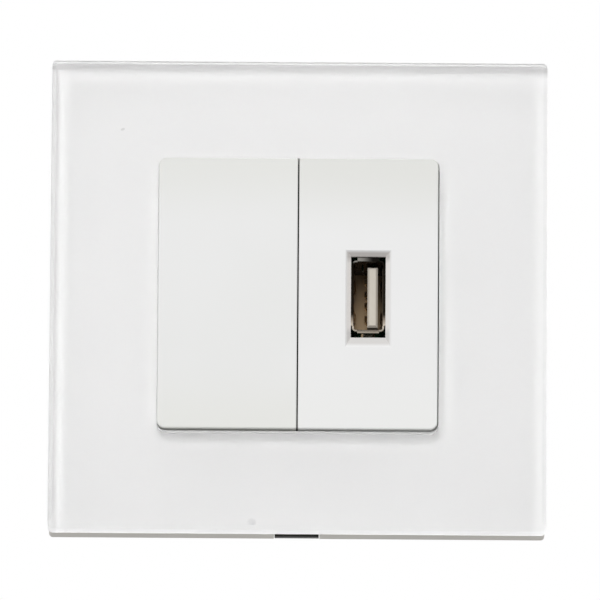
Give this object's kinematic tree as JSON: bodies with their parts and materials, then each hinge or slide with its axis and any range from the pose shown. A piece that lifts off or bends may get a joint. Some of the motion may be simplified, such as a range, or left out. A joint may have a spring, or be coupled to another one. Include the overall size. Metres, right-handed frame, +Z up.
{
  "type": "usb data socket",
  "caption": "Square white glass wall plate with a blank half module and a half module that carries an upright USB type A data port, wired at the back by clamp screws.",
  "frame": {"origin": "midway between the two wall box screw slots, on the wall surface", "axes": "+X to the right as seen from the front, +Z up, -Y out of the wall towards the viewer"},
  "size_m": [0.089, 0.0265, 0.0866],
  "materials": {
    "clear_glass": "clear polished glass, painted white on its back",
    "frame_plastic": "white moulded, satin",
    "grid_plastic": "black moulded, satin",
    "module_plastic": "white moulded, fine satin",
    "nickel_steel": "nickel plated sheet",
    "insulator_plastic": "warm white moulded",
    "contact_metal": "gold flashed strip",
    "board_laminate": "green solder mask",
    "terminal_plastic": "green moulded",
    "plated_brass": "nickel plated",
    "tinned_brass": "tinned",
    "zinc_steel": "bright zinc"
  },
  "bodies": {
    "base": {"mounting_grid": "grid_plastic", "blank_module": "module_plastic", "usb_module": "module_plastic", "usb_shell": "nickel_steel", "usb_insulator": "insulator_plastic", "usb_contact_1": "contact_metal", "usb_contact_2": "contact_metal", "usb_contact_3": "contact_metal", "usb_contact_4": "contact_metal", "circuit_board": "board_laminate", "board_screws": "zinc_steel", "terminal_housing": "terminal_plastic", "terminal_pin_1": "tinned_brass", "terminal_pin_2": "tinned_brass", "terminal_pin_3": "tinned_brass", "terminal_pin_4": "tinned_brass"},
    "front_panel": {"glass_panel": "clear_glass", "panel_frame": "frame_plastic"},
    "clamp_screw_1": {"terminal_screw_1": "zinc_steel"},
    "clamp_1": {"terminal_cage_1": "plated_brass"},
    "clamp_screw_2": {"terminal_screw_2": "zinc_steel"},
    "clamp_2": {"terminal_cage_2": "plated_brass"},
    "clamp_screw_3": {"terminal_screw_3": "zinc_steel"},
    "clamp_3": {"terminal_cage_3": "plated_brass"},
    "clamp_screw_4": {"terminal_screw_4": "zinc_steel"},
    "clamp_4": {"terminal_cage_4": "plated_brass"}
  },
  "joints": [
    {"name": "panel_pull", "type": "slide", "parent": "base", "child": "front_panel", "axis": [0, -1, 0], "range_m": [0, 0.02]},
    {"name": "screw_turn_1", "type": "hinge", "parent": "base", "child": "clamp_screw_1", "pos_m": [0.00502, 0.0155, -0.01422], "axis": [0, -1, 0], "range_deg": [0, 1080]},
    {"name": "cage_lift_1", "type": "slide", "parent": "base", "child": "clamp_1", "axis": [0, 1, 0], "range_m": [0, 0.00135]},
    {"name": "screw_turn_2", "type": "hinge", "parent": "base", "child": "clamp_screw_2", "pos_m": [0.01002, 0.0155, -0.01422], "axis": [0, -1, 0], "range_deg": [0, 1080]},
    {"name": "cage_lift_2", "type": "slide", "parent": "base", "child": "clamp_2", "axis": [0, 1, 0], "range_m": [0, 0.00135]},
    {"name": "screw_turn_3", "type": "hinge", "parent": "base", "child": "clamp_screw_3", "pos_m": [0.01503, 0.0155, -0.01422], "axis": [0, -1, 0], "range_deg": [0, 1080]},
    {"name": "cage_lift_3", "type": "slide", "parent": "base", "child": "clamp_3", "axis": [0, 1, 0], "range_m": [0, 0.00135]},
    {"name": "screw_turn_4", "type": "hinge", "parent": "base", "child": "clamp_screw_4", "pos_m": [0.02003, 0.0155, -0.01422], "axis": [0, -1, 0], "range_deg": [0, 1080]},
    {"name": "cage_lift_4", "type": "slide", "parent": "base", "child": "clamp_4", "axis": [0, 1, 0], "range_m": [0, 0.00135]}
  ],
  "couplings": [
    {"joint": "screw_turn_1", "follows": "cage_lift_1", "rad_per_m": 13963},
    {"joint": "screw_turn_2", "follows": "cage_lift_2", "rad_per_m": 13963},
    {"joint": "screw_turn_3", "follows": "cage_lift_3", "rad_per_m": 13963},
    {"joint": "screw_turn_4", "follows": "cage_lift_4", "rad_per_m": 13963}
  ]
}
